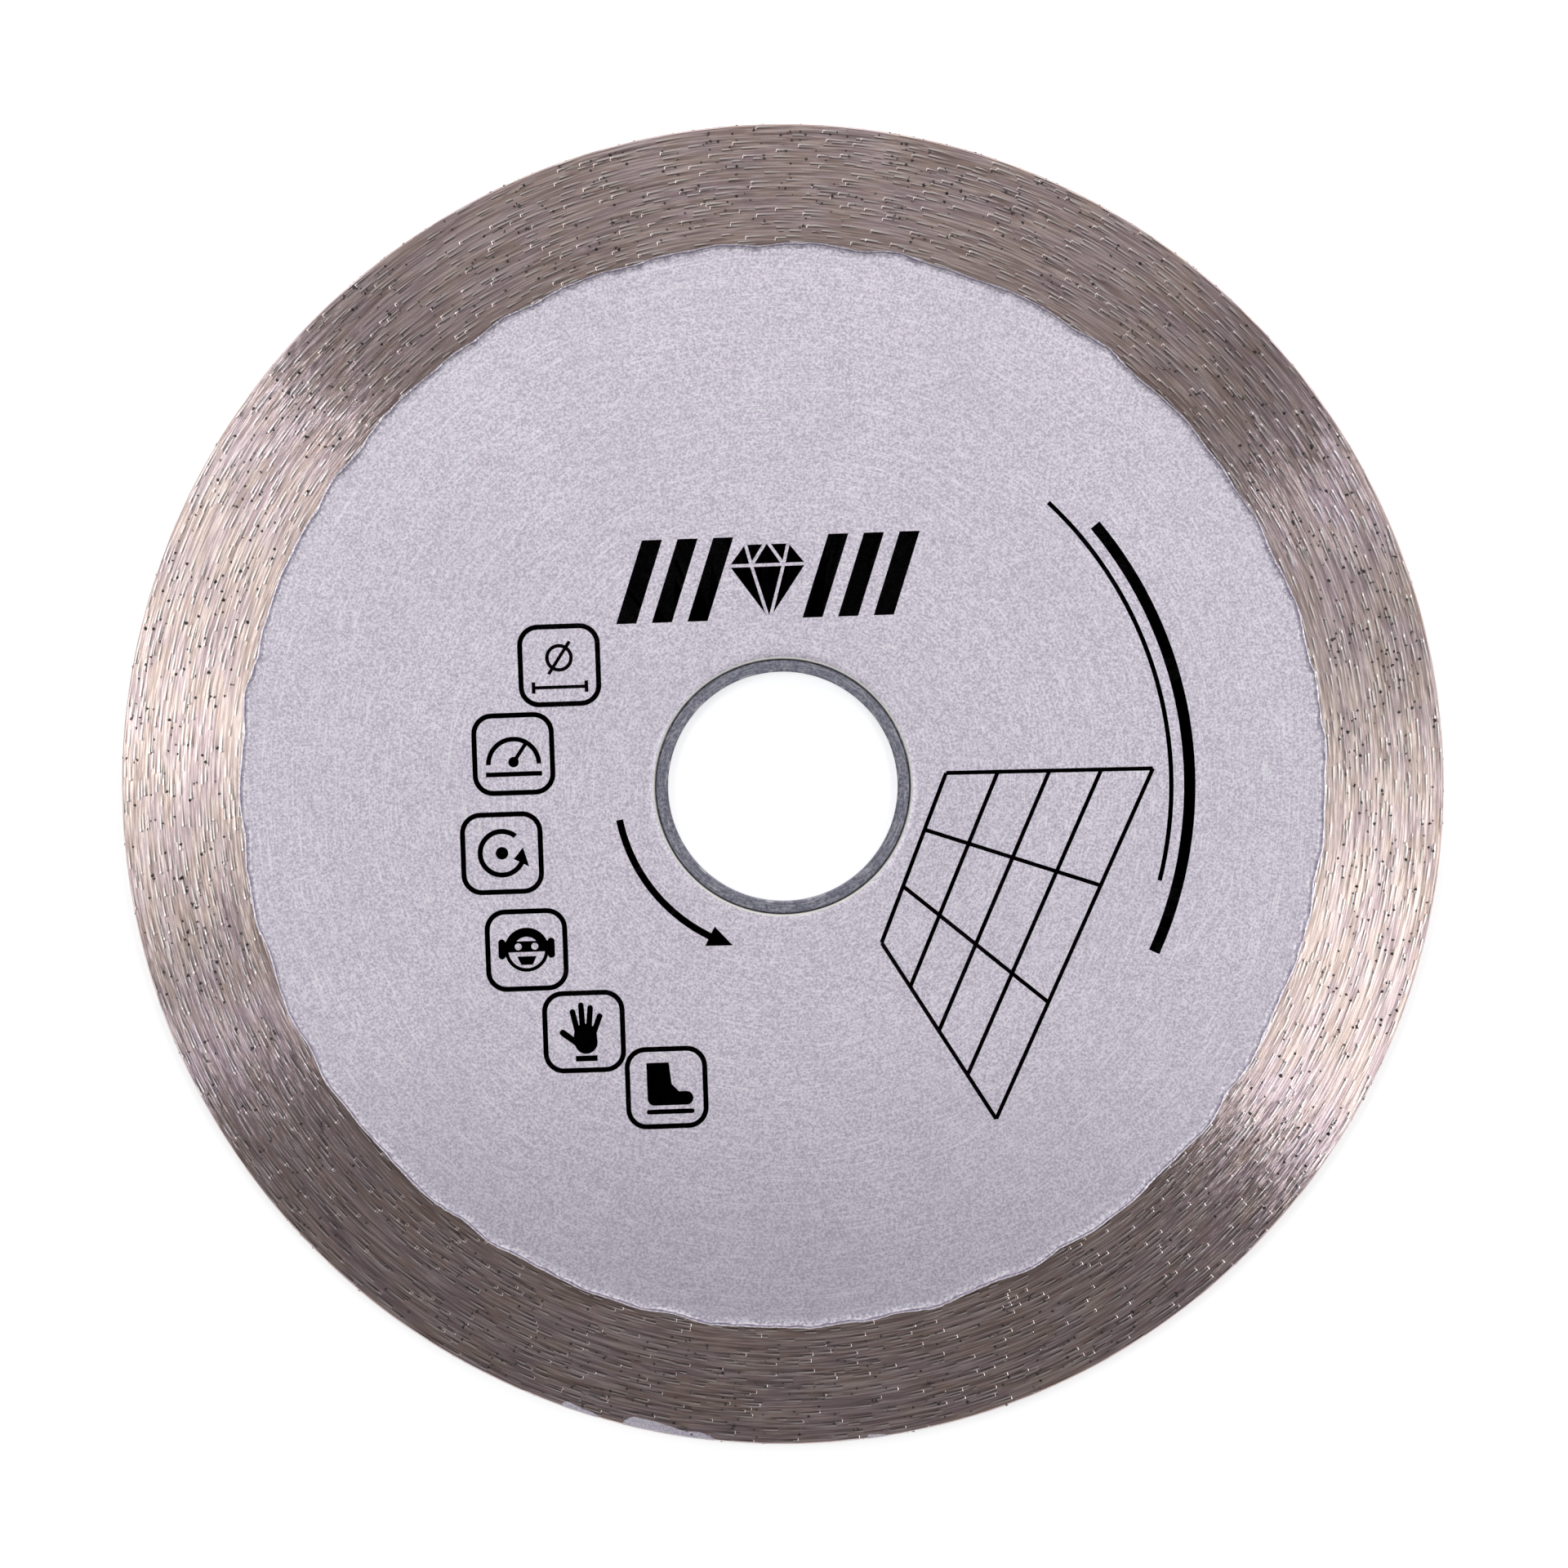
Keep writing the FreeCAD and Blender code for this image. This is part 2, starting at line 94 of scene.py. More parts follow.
def ring_noise(angles, lowest, highest, seed):
    """Smooth noise round a full turn, about -1 to 1, made of lowest to highest waves a turn."""
    random = np.random.default_rng(seed)
    most_waves = 24
    counts = np.unique(random.integers(lowest, highest + 1, most_waves))
    phases = random.uniform(0, TURN, len(counts))
    weights = random.uniform(0.4, 1.0, len(counts))
    waves = [w * np.sin(c * angles + p) for c, p, w in zip(counts, phases, weights)]
    return np.sum(waves, axis=0) / np.sqrt(np.sum(weights ** 2) / 2) / 2


def wavy_edge(angles, side):
    """Radius of the bond's inner edge: the CAD model's wave, with the scallops and the fine
    raggedness that grinding leaves."""
    turned = angles if side > 0 else -angles
    degrees = np.degrees(turned)
    wave_mm = sum(
        height_mm * np.sin(np.radians(count * degrees + phase))
        for count, height_mm, phase in WAVES
    )
    ragged_mm = 0.022 * ring_noise(turned, 90, 420, 5) * (1 + 0.6 * ring_noise(turned, 3, 12, 6))
    wide, narrow = np.abs(np.sin(9.5 * turned + 0.4)), np.abs(np.sin(17 * turned + 1.1))
    mean = 1.02
    scallops_mm = 0.13 * (wide + 0.6 * narrow - mean)
    return WAVE_RADIUS + (wave_mm + ragged_mm + scallops_mm) * MM


def make_object(name, vertices, faces, material, smooth_angle):
    """A mesh on the blade's body. Edges that bend by more than smooth_angle degrees stay sharp."""
    mesh = bpy.data.meshes.new(name)
    mesh.from_pydata(vertices.tolist(), [], [list(map(int, face)) for face in faces])
    mesh.materials.append(material)
    mesh.shade_smooth()
    mesh.set_sharp_from_angle(angle=math.radians(smooth_angle))
    piece = bpy.data.objects.new(name, mesh)
    bpy.context.scene.collection.objects.link(piece)
    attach(piece, "blade")
    return piece


def as_grids(section, columns):
    """Turns a section's points, each a tuple of measures, into one grid per measure, with a row
    per point and a column per angle. A measure is one number, or one number per angle."""
    return [
        np.array([np.broadcast_to(measure, columns) for measure in measures])
        for measures in zip(*section)
    ]


def swept_solid(name, angles, radii, heights, material, smooth_angle, whole=True):
    """A closed solid swept round the axis. radii and heights hold one row per point of its
    section and one column per angle; the section runs anticlockwise with the radius to the
    right and Z up. A part of a turn gets flat ends."""
    rows, columns = radii.shape
    points = np.stack([radii * np.cos(angles), radii * np.sin(angles), heights], axis=-1)
    spans = columns if whole else columns - 1
    row, column = np.meshgrid(np.arange(rows), np.arange(spans), indexing="ij")
    next_row = (row + 1) % rows
    next_column = (column + 1) % columns
    corners = [(row, column), (row, next_column), (next_row, next_column), (next_row, column)]
    faces = np.stack([(r * columns + c).ravel() for r, c in corners], axis=-1).tolist()
    if not whole:
        ends = np.arange(rows) * columns
        faces += [ends.tolist(), (ends[::-1] + columns - 1).tolist()]
    return make_object(name, points.reshape(-1, 3), faces, material, smooth_angle)


def whole_turn(columns):
    return np.arange(columns) * TURN / columns


def mark_rows(piece, name, values):
    """Store one value per vertex for the piece's material to read."""
    attribute = piece.data.attributes.new(name, "FLOAT", "POINT")
    attribute.data.foreach_set("value", values.ravel().astype(np.float32))


# ---------------------------------------------------------------- ground rim


def scratch_list(seed):
    """Grooves behind exposed diamonds: radius, angle of the head, length, half width, depth."""
    random = np.random.default_rng(seed)
    count = SCRATCHES_PER_FACE
    margin = 0.35 * MM
    inner, outer = BOND_RADIUS + margin, RIM_RADIUS - margin
    radius = np.sqrt(random.uniform(inner ** 2, outer ** 2, count))
    angle = random.uniform(0, TURN, count)
    length = (0.8 + random.gamma(2.2, 0.9, count)) * MM
    half_width = random.uniform(0.09, 0.14, count) * MM
    depth = random.uniform(0.0012, 0.0030, count) * MM
    return np.stack([radius, angle, length, half_width, depth], axis=-1)


def carve(radii, angles, scratches):
    """Height change over a grid of radius and angle: for each scratch a groove, with a slight
    ridge beside it. They trail clockwise from their heads, seen from +Z."""
    change = np.zeros((len(radii), len(angles)))
    step = angles[1] - angles[0]
    for radius, head, length, half_width, depth in scratches:
        rows = np.where(np.abs(radii - radius) < 3 * half_width)[0]
        reach = int(length / radius / step) + 3
        start = int(head / step)
        columns = np.arange(start - reach, start + 3)
        along = (head - columns * step) * radius / length
        ahead = np.exp(-(along * length / (0.5 * MM)) ** 2)
        behind = np.clip(1 - along, 0, 1) ** 0.8
        body = np.where(along < 0, ahead, behind)
        across = (radii[rows, None] - radius) / half_width
        groove = -np.exp(-across ** 2) + 0.45 * np.exp(-((across - 1.6) / 0.7) ** 2)
        wrapped = columns % len(angles)
        change[np.ix_(rows, wrapped)] += depth * groove * body[None, :]
    return change


def make_rim_layer(side, name, material, seed):
    """Half of the rim's thickness, with its ground face, its dressed edge and a flat joint.
    Returns the scratches in its face."""
    columns, face_rows, edge_rows = 600, 150, 7
    full_mark = 0.0025 * MM
    angles = whole_turn(columns)
    scratches = scratch_list(seed)

    section = [(BOND_RADIUS, 0.0, 0.0)]
    for number, height in enumerate(np.linspace(0, RIM_TOP - CORNER, edge_rows)):
        rough_mm = 0.006 * ring_noise(angles, 60, 400, seed + 40 + number) if height > 0 else 0.0
        inset_mm = 0.012 + max(0.0, height - 0.75 * RIM_TOP) * 0.25 / MM
        section.append((RIM_RADIUS - (inset_mm + rough_mm) * MM, height, 0.0))
    face_radii = np.linspace(RIM_RADIUS - CORNER, BOND_RADIUS, face_rows)
    carved = carve(face_radii, angles, scratches)
    for number, radius in enumerate(face_radii):
        fade = min(1.0, number / 6, (face_rows - 1 - number) / 5)
        change = carved[number] * fade
        section.append((radius, RIM_TOP + change, np.clip(-change / full_mark, -0.5, 1)))

    radii, heights, groove = as_grids(section, columns)
    if side < 0:
        radii, heights, groove = radii[::-1], -heights[::-1], groove[::-1]
    piece = swept_solid(name, angles, radii, heights, material, 40)
    mark_rows(piece, "groove", groove)
    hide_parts("diamond_rim")
    return scratches


def cube_octahedron():
    """Corners and faces of the shape that synthetic diamond grows in."""
    axes = np.eye(3)
    corners = [
        first * i + second * j
        for first, second in itertools.combinations(axes, 2)
        for i, j in itertools.product((-1, 1), repeat=2)
    ]
    corners = np.array(corners) / math.sqrt(2)
    squares = [axis * sign for axis in axes for sign in (-1, 1)]
    triangles = [np.array(signs) / math.sqrt(3) for signs in itertools.product((-1, 1), repeat=3)]
    faces = []
    for outward in squares + triangles:
        reach = corners @ outward
        members = np.flatnonzero(reach > reach.max() - 1e-6)
        side = np.cross(outward, corners[members[0]])
        up = np.cross(outward, side)
        turn = np.arctan2(corners[members] @ up, corners[members] @ side)
        faces.append(members[np.argsort(turn)])
    return corners, faces


def make_grit(scratch_sets, material):
    """Exposed diamond crystals: one at the head of each groove, and more round the edge."""
    random = np.random.default_rng(77)
    corners, faces = cube_octahedron()
    places = []
    for side, scratches in scratch_sets:
        for radius, head, *_ in scratches:
            size = random.uniform(0.16, 0.24) * MM
            places.append((radius, head, side * (RIM_TOP - size * random.uniform(0.5, 0.75)), size))
    for _ in range(EDGE_CRYSTALS):
        size = random.uniform(0.13, 0.19) * MM
        height = random.uniform(-0.8, 0.8) * RIM_TOP
        radius = RIM_RADIUS - size * random.uniform(0.5, 0.8)
        places.append((radius, random.uniform(0, TURN), height, size))
    all_corners, all_faces = [], []
    for number, (radius, angle, height, size) in enumerate(places):
        centre = np.array([radius * math.cos(angle), radius * math.sin(angle), height])
        turn, _ = np.linalg.qr(random.normal(size=(3, 3)))
        turn *= np.sign(np.linalg.det(turn))
        stretch = random.uniform(0.8, 1.15, 3)
        all_corners.append(centre + size * (corners * stretch) @ turn.T)
        all_faces += [face + number * len(corners) for face in faces]
    vertices = np.concatenate(all_corners)
    piece = make_object("diamond_crystals", vertices, all_faces, material, 5)
    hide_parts("diamond_grit")


def make_backing(material):
    """The diamond-free bond: a ground face inside the rim and a ramp down to the core."""
    angles = whole_turn(FINE_COLUMNS)
    section = []
    for side in (-1, 1):
        edge = wavy_edge(angles, side)
        run = [
            (WAVE_RADIUS - 1.2 * MM, side * CORE_TOP),
            (edge - TAPER, side * CORE_TOP),
            (edge - 0.45 * TAPER, side * (RIM_TOP - 0.09 * MM)),
        ]
        for share in (0, 0.35, 0.7, 1):
            run.append((edge + (BOND_RADIUS - edge) * share, side * RIM_TOP))
        section += run if side < 0 else run[::-1]
    radii, heights = as_grids(section, FINE_COLUMNS)
    piece = swept_solid("bond_backing", angles, radii, heights, material, 25)
    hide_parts("bond_backing_ring")


def make_lacquer(side, name, node, material):
    """A lacquer film over the core's face and up the ramp, ending where the grinding starts."""
    angles = whole_turn(FINE_COLUMNS)
    edge = wavy_edge(angles, side)
    uneven = 1 + 0.25 * ring_noise(angles, 20, 160, 9)
    film_top = CORE_TOP + FILM
    middle = WAVE_RADIUS * 0.55
    # Down the ramp: how far in from the edge, and how far below the ground face.
    ramp_mm = [(0.0, 0.004), (0.15, 0.037), (0.23, 0.08), (0.31, 0.16), (0.42, 0.23), (0.56, 0.252)]
    section = []
    for inset_mm, drop_mm in ramp_mm:
        section.append((edge - inset_mm * MM * uneven, RIM_TOP - drop_mm * MM, inset_mm))
    for inset_mm in (0.8, 1.2):
        section.append((edge - inset_mm * MM, film_top, inset_mm))
    for radius in (WAVE_RADIUS * 0.8, middle, PAINT_BORE + 0.5 * MM, PAINT_BORE + 0.03 * MM):
        section.append((radius, film_top, PLAIN_INSET_MM))
    section.append((PAINT_BORE, film_top - FILM / 2, PLAIN_INSET_MM))
    for radius in (PAINT_BORE, middle, edge - TAPER):
        section.append((radius, CORE_TOP, PLAIN_INSET_MM))
    radii, heights, insets = as_grids(section, FINE_COLUMNS)
    if side < 0:
        radii, heights, insets = radii[::-1], -heights[::-1], insets[::-1]
    piece = swept_solid(name, angles, radii, heights, material, 50)
    mark_rows(piece, "inset", insets)
    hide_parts(node)


def make_paint_remnants(material):
    """Lacquer that the dressing wheel missed, round the corner of the cutting edge."""
    # Start and end in degrees, and how far in over the ground face it reaches in mm.
    remnants = [(250.3, 253.6, 0.45), (255.9, 264.0, 0.85), (277.4, 279.0, 0.25)]
    columns_per_degree = 16
    for number, (start, end, reach_mm) in enumerate(remnants):
        columns = int((end - start) * columns_per_degree)
        angles = np.radians(np.linspace(start, end, columns))
        share = np.linspace(0, 1, columns)
        shape = np.sqrt(np.minimum(1, 9 * share) * (1 - share))
        depth_mm = reach_mm * shape * (1 + 0.22 * ring_noise(angles, 40, 160, 60 + number))
        inner = RIM_RADIUS - (0.16 + np.clip(depth_mm, 0.02, 1.4)) * MM
        section = [
            (inner, RIM_TOP - 0.03 * MM),
            (RIM_RADIUS - 0.2 * MM, RIM_TOP - 0.06 * MM),
            (RIM_RADIUS - 0.1 * MM, 0.4 * RIM_TOP),
            (RIM_RADIUS + 0.01 * MM, 0.4 * RIM_TOP),
            (RIM_RADIUS - 0.01 * MM, 0.8 * RIM_TOP),
            (RIM_RADIUS - CORNER, RIM_TOP + 0.02 * MM),
            (inner, RIM_TOP + 0.02 * MM),
        ]
        radii, heights = as_grids(section, columns)
        name = f"paint_remnant_{number + 1}"
        piece = swept_solid(name, angles, radii, heights, material, 30, whole=False)
        mark_rows(piece, "inset", np.full(radii.shape, PLAIN_INSET_MM))


# ---------------------------------------------------------------- materials


class Shader:
    """A material and short ways to build its nodes."""

    def __init__(self, name):
        self.material = bpy.data.materials.new(name)
        self.material.use_nodes = True
        self.tree = self.material.node_tree
        self.bsdf = self.tree.nodes["Principled BSDF"]
        self.place = self.node("ShaderNodeTexCoord").outputs["Object"]

    def node(self, kind, inputs=None, **settings):
        node = self.tree.nodes.new(kind)
        for key, value in settings.items():
            setattr(node, key, value)
        for key, value in (inputs or {}).items():
            self.put(node.inputs[key], value)
        return node

    def put(self, socket, value):
        if isinstance(value, bpy.types.NodeSocket):
            self.tree.links.new(value, socket)
        else:
            socket.default_value = value

    def math(self, operation, first, second=0.0):
        return self.node("ShaderNodeMath", {0: first, 1: second}, operation=operation).outputs[0]

    def times(self, first, second):
        return self.math("MULTIPLY", first, second)

    def vector(self, operation, first, second=None, output="Vector"):
        inputs = {0: first}
        if second is not None:
            inputs["Scale" if operation == "SCALE" else 1] = second
        return self.node("ShaderNodeVectorMath", inputs, operation=operation).outputs[output]

    def spread(self, value, low, high, to_low=0.0, to_high=1.0):
        """Maps low..high smoothly to to_low..to_high, and no further."""
        inputs = {
            "Value": value, "From Min": low, "From Max": high, "To Min": to_low, "To Max": to_high,
        }
        return self.node("ShaderNodeMapRange", inputs, interpolation_type="SMOOTHSTEP").outputs[0]

    def mix(self, share, first, second):
        inputs = {"Factor": share, 6: first, 7: second}
        return self.node("ShaderNodeMix", inputs, data_type="RGBA").outputs[2]

    def noise(self, place, scale, detail, roughness=0.5):
        inputs = {"Vector": place, "Scale": scale, "Detail": detail, "Roughness": roughness}
        return self.node("ShaderNodeTexNoise", inputs).outputs["Fac"]

    def mark(self, name):
        """The values that mark_rows stored under this name."""
        return self.node("ShaderNodeAttribute", attribute_name=name).outputs["Fac"]

    def from_axis(self):
        """The place with no height, its distance from the axis in mm, and that distance measured
        on over the corner and down the edge."""
        parts = self.node("ShaderNodeSeparateXYZ", {0: self.place})
        flat = self.node("ShaderNodeCombineXYZ", {0: parts.outputs[0], 1: parts.outputs[1]})
        length = self.vector("LENGTH", flat.outputs[0], output="Value")
        radius_mm = self.times(length, 1 / MM)
        path_mm = self.math("SUBTRACT", radius_mm, self.times(parts.outputs[2], 1 / MM))
        return flat.outputs[0], radius_mm, path_mm

    def drawn_out(self, along_mm, across_mm, shift):
        """The direction outward, and the place in a space where a unit is along_mm round the axis
        and across_mm away from it. shift keeps two such spaces from looking alike."""
        flat, _, path_mm = self.from_axis()
        outward = self.vector("NORMALIZE", flat)
        ring = self.vector("SCALE", outward, WAVE_RADIUS / MM / along_mm)
        lift = self.math("DIVIDE", path_mm, across_mm)
        offset = self.node("ShaderNodeCombineXYZ", {0: shift[0], 1: shift[1], 2: lift})
        return outward, self.vector("ADD", ring, offset.outputs[0])

    def streaks(self, along_mm, across_mm, seed, detail):
        """Noise drawn out along circles about the axis: along_mm long and across_mm wide."""
        _, place = self.drawn_out(along_mm, across_mm, (seed * 7.3, seed * 3.1))
        return self.noise(place, 1.0, detail)

    def tails(self, along_mm, across_mm, seed):
        """Short grooves that trail clockwise from a point, scattered without a seam, about
        along_mm and across_mm apart. Gives the strength, from 0 to 1, of the groove, of the
        bright ridge beside it and of the lump at its head."""
        outward, place = self.drawn_out(along_mm, across_mm, (seed * 5.7, seed * 2.9))
        round_about = self.vector("CROSS_PRODUCT", (0, 0, 1), outward)
        cells = self.node("ShaderNodeTexVoronoi", {"Vector": place, "Scale": 1.0})
        gap = self.vector("SUBTRACT", place, cells.outputs["Position"])
        lifted = self.node("ShaderNodeSeparateXYZ", {0: gap}).outputs[2]
        aside_mm = self.times(lifted, across_mm)
        ahead_mm = self.times(self.vector("DOT_PRODUCT", gap, round_about, "Value"), along_mm)
        stray = self.vector("DOT_PRODUCT", gap, outward, "Value")
        chosen = self.spread(self.math("ABSOLUTE", stray), 0.25, 0.3, 1, 0)
        length = self.times(self.spread(ahead_mm, -2.2, -0.1), self.spread(ahead_mm, 0, 0.08, 1, 0))
        length = self.times(length, chosen)
        head = self.times(length, self.spread(ahead_mm, -0.20, -0.05))
        beside_mm = self.math("SUBTRACT", aside_mm, 0.13)
        parts = ((length, aside_mm, 0.10), (length, beside_mm, 0.09), (head, aside_mm, 0.24))
        return [
            self.times(part, self.spread(self.math("ABSOLUTE", off_mm), 0.02, half_mm, 1, 0))
            for part, off_mm, half_mm in parts
        ]

    def bump(self, height, strength, distance_mm, below=None):
        inputs = {"Height": height, "Strength": strength, "Distance": distance_mm * MM}
        if below is not None:
            inputs["Normal"] = below
        return self.node("ShaderNodeBump", inputs).outputs[0]

    def finish(self, **sockets):
        for name, value in sockets.items():
            self.put(self.bsdf.inputs[name.replace("_", " ")], value)
        return self.material


def ground_bond_material():
    """Sintered metal bond, ground round and round: anisotropic, streaked and stained."""
    warm_base, cool_base = (0.555, 0.42, 0.375, 1), (0.54, 0.41, 0.43, 1)
    pale_line, bright_line = (0.80, 0.66, 0.64, 1), (0.95, 0.80, 0.78, 1)
    dark_line, fine_dark_line = (0.20, 0.14, 0.145, 1), (0.22, 0.155, 0.16, 1)
    fine_bright_line, ridge_glint = (1.0, 0.85, 0.82, 1), (1.0, 0.93, 0.90, 1)
    brown_stain, burnt_border = (0.50, 0.40, 0.31, 1), (0.20, 0.145, 0.13, 1)
    groove_shadow = (0.06, 0.04, 0.042, 1)

    shader = Shader("ground_bond")
    flat, radius_mm, _ = shader.from_axis()
    long_lines = shader.streaks(18.0, 0.24, 1, detail=1)
    lines = shader.streaks(8.0, 0.17, 2, detail=1)
    fine = shader.streaks(3.0, 0.12, 3, detail=1)
    patches = shader.streaks(4.0, 1.4, 4, detail=2)

    colour = shader.mix(shader.spread(patches, 0.40, 0.60), warm_base, cool_base)
    colour = shader.mix(shader.spread(long_lines, 0.55, 0.62, 0, 0.30), colour, pale_line)
    colour = shader.mix(shader.spread(lines, 0.39, 0.45, 0.33, 0), colour, dark_line)
    colour = shader.mix(shader.spread(lines, 0.56, 0.62, 0, 0.36), colour, bright_line)
    colour = shader.mix(shader.spread(fine, 0.55, 0.61, 0, 0.32), colour, fine_dark_line)
    colour = shader.mix(shader.spread(fine, 0.39, 0.45, 0.40, 0), colour, fine_bright_line)
    near_backing = shader.spread(radius_mm, 47.6, 49.6, 0.35, 0)
    stained = shader.times(near_backing, shader.spread(patches, 0.46, 0.60))
    colour = shader.mix(stained, colour, brown_stain)
    ragged_mm = shader.math("ADD", radius_mm, shader.times(lines, 1.6))
    colour = shader.mix(shader.spread(ragged_mm, 47.9, 48.6, 0.4, 0), colour, burnt_border)

    # The carved grooves, then two layers of finer tails, the first with lumps at their heads.
    groove = shader.mark("groove")
    colour = shader.mix(shader.spread(groove, -0.40, -0.08, 0.3, 0), colour, ridge_glint)
    dark = shader.spread(groove, 0.15, 1.0, 0, 0.4)
    normal = None
    for along_mm, across_mm, seed, has_lumps in ((3.6, 0.55, 1, True), (2.6, 0.40, 2, False)):
        tail, ridge, lump = shader.tails(along_mm, across_mm, seed)
        dark = shader.math("MAXIMUM", dark, shader.times(tail, 0.75))
        colour = shader.mix(shader.times(ridge, 0.9), colour, ridge_glint)
        normal = shader.bump(shader.math("SUBTRACT", ridge, tail), 0.10, 0.005, normal)
        if has_lumps:
            normal = shader.bump(lump, 0.5, 0.025, normal)
    colour = shader.mix(dark, colour, groove_shadow)

    # The grinding lines don't run quite true, which breaks the ends of the highlight into streaks.
    sparkle = shader.streaks(1.0, 0.12, 5, detail=1)
    sway = shader.times(shader.math("SUBTRACT", sparkle, 0.5), 0.7)
    slow_sway = shader.times(shader.math("SUBTRACT", long_lines, 0.5), 0.05)
    sway = shader.math("ADD", sway, slow_sway)
    outward = shader.node(
        "ShaderNodeVectorTransform", {0: shader.vector("NORMALIZE", flat)},
        vector_type="VECTOR", convert_from="OBJECT", convert_to="WORLD",
    ).outputs[0]
    tangent = shader.node("ShaderNodeTangent", direction_type="RADIAL", axis="Z").outputs[0]
    tangent = shader.vector("ADD", tangent, shader.vector("SCALE", outward, sway))
    return shader.finish(
        Base_Color=colour, Metallic=1.0, Roughness=0.215,
        Anisotropic=1.0, Anisotropic_Rotation=0.25, Normal=normal, Tangent=tangent,
    )


def lacquer_material():
    """Silver lacquer: fine metal flake, a soft sheen, faint turning marks and a speckled edge, with
    painted highlights and painted shadow at the edge and painted shade towards -Y.
    """
    dark_flake, bright_flake = (0.46, 0.41, 0.495, 1), (0.94, 0.855, 0.955, 1)
    cloudy, turning_mark = (0.48, 0.44, 0.54, 1), (1.0, 0.98, 1.0, 1)
    # The first colour on the next line is painted shade for the side away from the light.
    painted_shade_tint, bare_gap = (0.15, 0.135, 0.20, 1), (0.30, 0.26, 0.36, 1)
    # The specks' white is partly a painted highlight, and the ramp's dark line is a painted shadow.
    speck_and_painted_highlight, ramp_shadow = (1.0, 0.96, 1.0, 1), (0.12, 0.08, 0.17, 1)
    # A painted highlight for the film's very edge.
    painted_edge_highlight = (1.0, 0.98, 1.0, 1)

    shader = Shader("silver_lacquer")
    grain = shader.noise(shader.place, 5200, 2, 0.6)
    cloud = shader.noise(shader.place, 90, 3)
    streak = shader.streaks(4.0, 0.11, 11, detail=0)
    colour = shader.mix(shader.spread(grain, 0.25, 0.75), dark_flake, bright_flake)
    colour = shader.mix(shader.spread(cloud, 0.35, 0.7, 0, 0.12), colour, cloudy)
    colour = shader.mix(shader.spread(streak, 0.62, 0.74, 0, 0.4), colour, turning_mark)

    # Painted shade: the film is darkened towards -Y, where the light falls off.
    across_blade = shader.node("ShaderNodeSeparateXYZ", {0: shader.place}).outputs[1]
    painted_shade_share = shader.spread(across_blade, -50 * MM, -18 * MM, 0.36, 0)
    colour = shader.mix(painted_shade_share, colour, painted_shade_tint)

    # Towards the bond the film is speckled, then carries a painted shadow just inside the edge, and
    # its very edge carries a painted highlight.
    inset_mm = shader.mark("inset")
    ramp = shader.spread(inset_mm, 0.4, 1.0, 0.4, 0)
    specks = shader.spread(shader.noise(shader.place, 3600, 1), 0.40, 0.60)
    # Real specks on the ramp, whitened as a painted highlight.
    colour = shader.mix(shader.times(ramp, specks), colour, speck_and_painted_highlight)
    gaps = shader.times(ramp, shader.math("SUBTRACT", 1.0, specks))
    colour = shader.mix(gaps, colour, bare_gap)
    # Painted highlight along the film's very edge, then the painted shadow just inside it.
    colour = shader.mix(shader.spread(inset_mm, 0.06, 0.14, 0.25, 0), colour, painted_edge_highlight)
    past_edge = shader.spread(inset_mm, 0.05, 0.13)
    high_on_ramp = shader.spread(inset_mm, 0.17, 0.27, 0.65, 0)
    colour = shader.mix(shader.times(past_edge, high_on_ramp), colour, ramp_shadow)
    normal = shader.bump(specks, shader.spread(inset_mm, 0.5, 1.0, 0.5, 0), 0.02)
    normal = shader.bump(grain, 0.4, 0.01, normal)
    return shader.finish(
        Base_Color=colour, Metallic=0.35, Roughness=shader.spread(inset_mm, 0.1, 0.5, 0.22, 0.42),
        Coat_Weight=0.15, Coat_Roughness=0.3, Normal=normal,
    )


def ring_material():
    """Turned steel of the reducing ring, dull and finely pitted."""
    dark_pit, grey_steel = (0.14, 0.14, 0.185, 1), (0.34, 0.325, 0.38, 1)
    blue_stain, turned_bright = (0.17, 0.175, 0.22, 1), (0.62, 0.60, 0.62, 1)
    shader = Shader("ring_steel")
    pitting = shader.noise(shader.place, 3800, 3, 0.6)
    stain = shader.noise(shader.place, 700, 2)
    turning = shader.streaks(6.0, 0.07, 21, detail=1)
    colour = shader.mix(shader.spread(pitting, 0.35, 0.65), dark_pit, grey_steel)
    colour = shader.mix(shader.spread(stain, 0.40, 0.62, 0, 0.55), colour, blue_stain)
    colour = shader.mix(shader.spread(turning, 0.55, 0.68, 0, 0.5), colour, turned_bright)
    normal = shader.bump(turning, 0.4, 0.01)
    normal = shader.bump(pitting, 0.3, 0.01, normal)
    return shader.finish(Base_Color=colour, Metallic=1.0, Roughness=0.38, Normal=normal)


def core_material():
    """Bare steel of the core: bored grey inside, and a painted cream highlight on the flat edge of
    the bore.
    """
    shader = Shader("core_steel")
    stain = shader.noise(shader.place, 700, 4, 0.6)
    _, radius_mm, _ = shader.from_axis()
    bore_mm, lip_mm = 11.12, 11.17
    bored = shader.mix(stain, (0.20, 0.20, 0.215, 1), (0.42, 0.41, 0.42, 1))
    # Painted highlight: cream on the flat edge round the bore.
    painted_lip_highlight = shader.mix(stain, (0.80, 0.77, 0.70, 1), (0.93, 0.91, 0.85, 1))
    colour = shader.mix(shader.spread(radius_mm, bore_mm, lip_mm), bored, painted_lip_highlight)
    normal = shader.bump(shader.noise(shader.place, 4000, 3), 0.2, 0.01)
    return shader.finish(Base_Color=colour, Metallic=0.5, Roughness=0.45, Normal=normal)


